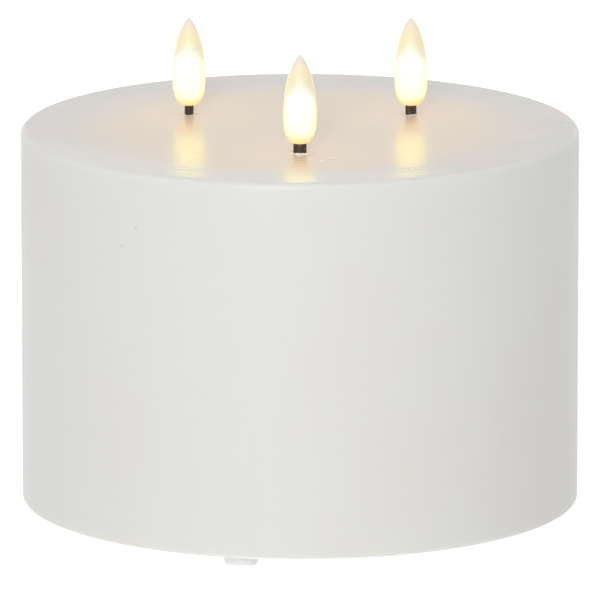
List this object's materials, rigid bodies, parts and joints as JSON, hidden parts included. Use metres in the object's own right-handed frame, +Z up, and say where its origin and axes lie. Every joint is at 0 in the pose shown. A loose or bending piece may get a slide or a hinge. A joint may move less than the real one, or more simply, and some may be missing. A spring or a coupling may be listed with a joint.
{
  "type": "flameless led candle",
  "caption": "Wide off-white wax pillar candle with LED flames on dark wicks, hollow inside, on a plastic battery base with a hinged door, slide switch and round feet.",
  "frame": {"origin": "on the table under the middle of the candle, level with the undersides of the feet", "axes": "+Z up through the flames; -Y towards the viewer of the picture, where one wick stands in front; +X to the viewer's right"},
  "size_m": [0.15, 0.15, 0.1323],
  "materials": {
    "wax": "semi-gloss poured wax, off-white",
    "base_plastic": "white moulded ABS with a fine spark-eroded grain",
    "foot_rubber": "white silicone rubber bumper",
    "cell_can": "nickel-plated can of a C cell",
    "cell_jacket": "plain dark shrink jacket of a C cell",
    "contact_steel": "nickel-plated spring steel",
    "carrier_plastic": "natural moulded ABS",
    "screw_steel": "zinc-plated steel",
    "board_green": "green solder mask on glass-epoxy board",
    "chip_black": "black moulded epoxy",
    "capacitor_sleeve": "dark blue shrink sleeve",
    "resistor_black": "black glazed chip",
    "switch_steel": "tinned steel can",
    "pin_brass": "tinned brass",
    "knob_black": "black acetal",
    "flame_plastic": "milky translucent polypropylene, lit from inside",
    "led_lens": "clear-diffused epoxy lens",
    "led_leg_steel": "tinned steel",
    "wick_sleeve": "dark brown shrink sleeve",
    "lead_red": "red PVC",
    "lead_black": "black PVC"
  },
  "bodies": {
    "root": {"wax_shell": "wax", "base_tray": "base_plastic", "foot_1": "foot_rubber", "foot_2": "foot_rubber", "foot_3": "foot_rubber", "cell_1_can": "cell_can", "cell_1_jacket": "cell_jacket", "cell_2_can": "cell_can", "cell_2_jacket": "cell_jacket", "negative_contact": "contact_steel", "negative_spring": "contact_steel", "positive_contact": "contact_steel", "bridge_contact": "contact_steel", "bridge_spring": "contact_steel", "led_carrier": "carrier_plastic", "carrier_screws": "screw_steel", "control_board": "board_green", "board_screws": "screw_steel", "control_chip": "chip_black", "capacitor": "capacitor_sleeve", "resistors": "resistor_black", "switch_body": "switch_steel", "switch_pins": "pin_brass", "flame_1": "flame_plastic", "led_1": "led_lens", "led_legs_1": "led_leg_steel", "wick_1": "wick_sleeve", "led_lead_red_1": "lead_red", "led_lead_black_1": "lead_black", "flame_2": "flame_plastic", "led_2": "led_lens", "led_legs_2": "led_leg_steel", "wick_2": "wick_sleeve", "led_lead_red_2": "lead_red", "led_lead_black_2": "lead_black", "flame_3": "flame_plastic", "led_3": "led_lens", "led_legs_3": "led_leg_steel", "wick_3": "wick_sleeve", "led_lead_red_3": "lead_red", "led_lead_black_3": "lead_black", "battery_lead_red": "lead_red", "battery_lead_black": "lead_black"},
    "battery_door": {"battery_door": "base_plastic", "door_latch": "base_plastic"},
    "switch_knob": {"switch_knob": "knob_black"}
  },
  "joints": [
    {"name": "battery_door_hinge", "type": "hinge", "parent": "root", "child": "battery_door", "pos_m": [0, 0.0313, 0.0046], "axis": [1, 0, 0], "range_deg": [0, 75], "deforming": ["door_latch"]},
    {"name": "switch_slide", "type": "slide", "parent": "root", "child": "switch_knob", "axis": [0, 1, 0], "range_m": [-0.002, 0.002]}
  ]
}
